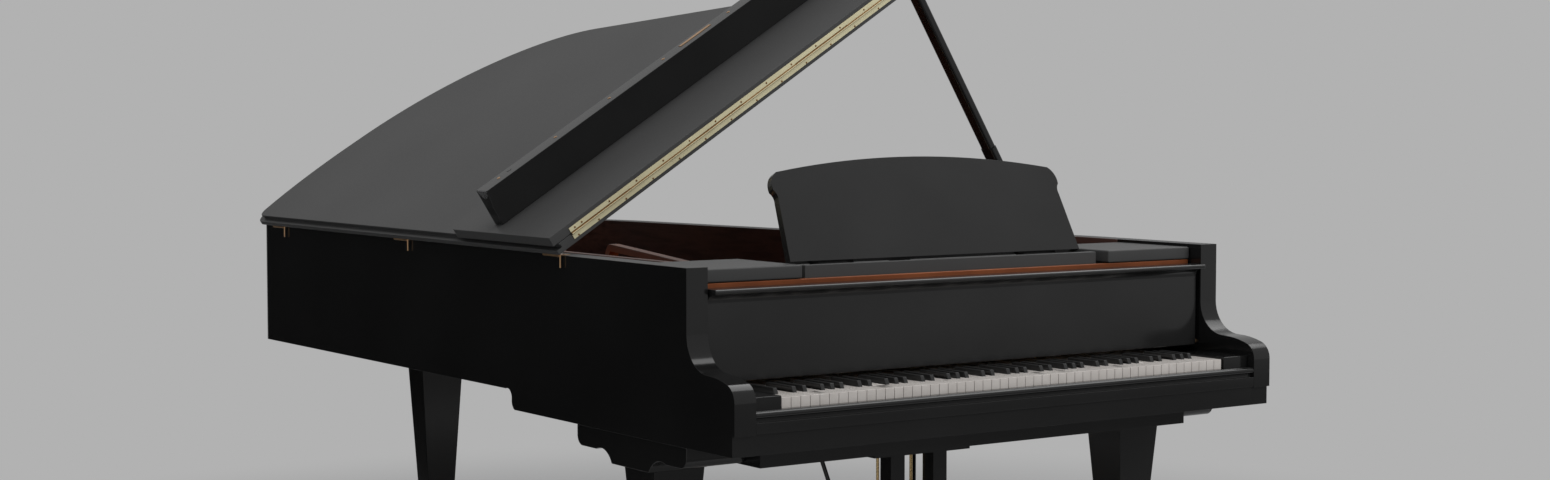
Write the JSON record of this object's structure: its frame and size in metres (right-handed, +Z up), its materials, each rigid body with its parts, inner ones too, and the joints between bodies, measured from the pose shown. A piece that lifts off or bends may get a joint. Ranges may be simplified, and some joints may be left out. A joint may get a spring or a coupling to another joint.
{
  "type": "grand piano",
  "caption": "Black grand piano on tapered legs with casters: lid raised on its prop with the front flap folded back, music desk up, fallboard open over the keyboard, pedals on a lyre.",
  "frame": {"origin": "on the floor, under the front edge of the white keys at the middle of the keyboard", "axes": "+X towards the treble, +Y from the player towards the tail, +Z up"},
  "size_m": [1.5418, 2.4215, 1.8758],
  "materials": {
    "ebony": "black lacquer, hand rubbed to a soft shine",
    "dark_veneer": "dark red-brown veneer, polished",
    "maple": "plain wood, sealed",
    "spruce": "clear varnish",
    "bronzed_iron": "copper-bronze paint",
    "steel": "polished steel",
    "copper_wire": "bare copper winding",
    "brass": "polished brass",
    "ivory": "off-white, soft shine",
    "key_black": "matt black",
    "felt": "pressed wool felt on wood"
  },
  "bodies": {
    "case": {"outer_rim": "ebony", "rim_lining": "dark_veneer", "inner_rim": "maple", "belly_beams": "maple", "keybed": "ebony", "key_slip": "ebony", "key_blocks": "ebony", "cross_board": "ebony", "soundboard": "spruce", "bridges": "maple", "iron_plate": "bronzed_iron", "pinblock": "maple", "tuning_pins": "steel", "treble_strings": "steel", "bass_strings": "copper_wire", "lid_hinge_case_leaves": "brass", "lid_hinge_pins": "brass", "prop_bracket": "brass", "shelf_wings": "ebony", "tray_runners": "ebony", "legs": "ebony", "leg_brackets": "ebony", "lyre": "ebony", "pedal_pin": "steel", "lyre_braces": "brass"},
    "lid": {"lid_main": "ebony", "flap_hinge_lid_leaf": "brass", "lid_hinge_lid_leaves": "brass", "prop_cup": "brass"},
    "flap": {"lid_flap": "ebony", "flap_batten": "ebony", "flap_hinge_flap_leaf": "brass"},
    "prop": {"lid_prop": "ebony"},
    "tray": {"desk_tray": "ebony", "desk_hinges": "brass"},
    "desk": {"music_desk": "ebony", "strut_pivot": "brass"},
    "strut": {"desk_strut": "ebony"},
    "fall": {"fallboard": "ebony", "fallboard_pins": "steel"},
    "action": {"key_frame": "maple", "action_stand": "maple"},
    "white_keys": {"naturals": "ivory"},
    "black_keys": {"sharps": "key_black"},
    "white_hammer_set": {"white_hammers": "felt"},
    "black_hammer_set": {"black_hammers": "felt"},
    "damper_set": {"dampers": "key_black"},
    "sostenuto": {"sostenuto_rod": "brass"},
    "left_pedal": {"left_pedal": "brass"},
    "left_rod": {"left_pedal_rod": "brass"},
    "middle_pedal": {"middle_pedal": "brass"},
    "middle_rod": {"middle_pedal_rod": "brass"},
    "right_pedal": {"right_pedal": "brass"},
    "right_rod": {"right_pedal_rod": "brass"},
    "bass_fork": {"bass_caster_fork": "brass"},
    "bass_wheel": {"bass_caster_wheel": "brass"},
    "treble_fork": {"treble_caster_fork": "brass"},
    "treble_wheel": {"treble_caster_wheel": "brass"},
    "tail_fork": {"tail_caster_fork": "brass"},
    "tail_wheel": {"tail_caster_wheel": "brass"}
  },
  "joints": [
    {"name": "lid_hinge", "type": "hinge", "parent": "case", "child": "lid", "pos_m": [-0.7475, 0, 0.978], "axis": [0, -1, 0], "range_deg": [0, 30]},
    {"name": "flap_hinge", "type": "hinge", "parent": "lid", "child": "flap", "pos_m": [-0.12779, 0.634, 1.39684], "axis": [0.848, 0, 0.5299], "range_deg": [0, 150]},
    {"name": "prop_pivot", "type": "hinge", "parent": "case", "child": "prop", "pos_m": [0.644, 0.68, 0.955], "axis": [-1, 0, 0], "range_deg": [0, 70]},
    {"name": "tray_slide", "type": "slide", "parent": "case", "child": "tray", "axis": [0, 1, 0], "range_m": [0, 0.075]},
    {"name": "desk_tilt", "type": "hinge", "parent": "tray", "child": "desk", "pos_m": [0, 0.272, 0.962], "axis": [-1, 0, 0], "range_deg": [0, 65]},
    {"name": "strut_swing", "type": "hinge", "parent": "desk", "child": "strut", "pos_m": [0, 0.32393, 1.05916], "axis": [1, 0, 0], "range_deg": [0, 116]},
    {"name": "fallboard_turn", "type": "hinge", "parent": "case", "child": "fall", "pos_m": [0, 0.161, 0.75], "axis": [1, 0, 0], "range_deg": [0, 90]},
    {"name": "action_shift", "type": "slide", "parent": "case", "child": "action", "axis": [1, 0, 0], "range_m": [0, 0.003]},
    {"name": "white_key_press", "type": "hinge", "parent": "action", "child": "white_keys", "pos_m": [0, 0.225, 0.6987], "axis": [1, 0, 0], "range_deg": [0, 2.5], "stiffness_Nm_per_rad": 30, "springref_deg": -8.59},
    {"name": "black_key_press", "type": "hinge", "parent": "action", "child": "black_keys", "pos_m": [0, 0.225, 0.6987], "axis": [1, 0, 0], "range_deg": [0, 2.5], "stiffness_Nm_per_rad": 20, "springref_deg": -8.59},
    {"name": "white_hammer_swing", "type": "hinge", "parent": "action", "child": "white_hammer_set", "pos_m": [0, 0.255, 0.79], "axis": [1, 0, 0], "range_deg": [0, 22]},
    {"name": "black_hammer_swing", "type": "hinge", "parent": "action", "child": "black_hammer_set", "pos_m": [0, 0.255, 0.79], "axis": [1, 0, 0], "range_deg": [0, 22]},
    {"name": "damper_lift", "type": "slide", "parent": "case", "child": "damper_set", "axis": [0, 0, 1], "range_m": [0, 0.005]},
    {"name": "sostenuto_turn", "type": "hinge", "parent": "case", "child": "sostenuto", "pos_m": [0, 0.436, 0.79], "axis": [1, 0, 0], "range_deg": [0, 28]},
    {"name": "left_pedal_press", "type": "hinge", "parent": "case", "child": "left_pedal", "pos_m": [-0.048, 0.385, 0.102], "axis": [1, 0, 0], "range_deg": [0, 7], "stiffness_Nm_per_rad": 20, "springref_deg": -6.88},
    {"name": "left_rod_lift", "type": "slide", "parent": "case", "child": "left_rod", "axis": [0, 0, 1], "range_m": [0, 0.005]},
    {"name": "middle_pedal_press", "type": "hinge", "parent": "case", "child": "middle_pedal", "pos_m": [0, 0.385, 0.102], "axis": [1, 0, 0], "range_deg": [0, 7], "stiffness_Nm_per_rad": 20, "springref_deg": -6.88},
    {"name": "middle_rod_lift", "type": "slide", "parent": "case", "child": "middle_rod", "axis": [0, 0, 1], "range_m": [0, 0.005]},
    {"name": "right_pedal_press", "type": "hinge", "parent": "case", "child": "right_pedal", "pos_m": [0.048, 0.385, 0.102], "axis": [1, 0, 0], "range_deg": [0, 7], "stiffness_Nm_per_rad": 20, "springref_deg": -6.88},
    {"name": "right_rod_lift", "type": "slide", "parent": "case", "child": "right_rod", "axis": [0, 0, 1], "range_m": [0, 0.005]},
    {"name": "bass_caster_swivel", "type": "hinge", "parent": "case", "child": "bass_fork", "pos_m": [-0.655, 0.368, 0.1], "axis": [0, 0, 1], "continuous": true},
    {"name": "bass_wheel_spin", "type": "hinge", "parent": "bass_fork", "child": "bass_wheel", "pos_m": [-0.655, 0.392, 0.035], "axis": [1, 0, 0], "continuous": true},
    {"name": "treble_caster_swivel", "type": "hinge", "parent": "case", "child": "treble_fork", "pos_m": [0.655, 0.368, 0.1], "axis": [0, 0, 1], "continuous": true},
    {"name": "treble_wheel_spin", "type": "hinge", "parent": "treble_fork", "child": "treble_wheel", "pos_m": [0.655, 0.392, 0.035], "axis": [1, 0, 0], "continuous": true},
    {"name": "tail_caster_swivel", "type": "hinge", "parent": "case", "child": "tail_fork", "pos_m": [-0.412, 1.9285, 0.1], "axis": [0, 0, 1], "continuous": true},
    {"name": "tail_wheel_spin", "type": "hinge", "parent": "tail_fork", "child": "tail_wheel", "pos_m": [-0.412, 1.9525, 0.035], "axis": [1, 0, 0], "continuous": true}
  ],
  "couplings": [
    {"joint": "strut_swing", "follows": "desk_tilt", "ratio": 1.7769},
    {"joint": "action_shift", "follows": "left_pedal_press", "m_per_rad": 0.0245},
    {"joint": "white_hammer_swing", "follows": "white_key_press", "ratio": 8.6},
    {"joint": "black_hammer_swing", "follows": "black_key_press", "ratio": 8.6},
    {"joint": "damper_lift", "follows": "right_pedal_press", "m_per_rad": 0.04},
    {"joint": "sostenuto_turn", "follows": "middle_pedal_press", "ratio": 4},
    {"joint": "left_rod_lift", "follows": "left_pedal_press", "m_per_rad": 0.04},
    {"joint": "middle_rod_lift", "follows": "middle_pedal_press", "m_per_rad": 0.04},
    {"joint": "right_rod_lift", "follows": "right_pedal_press", "m_per_rad": 0.04}
  ]
}
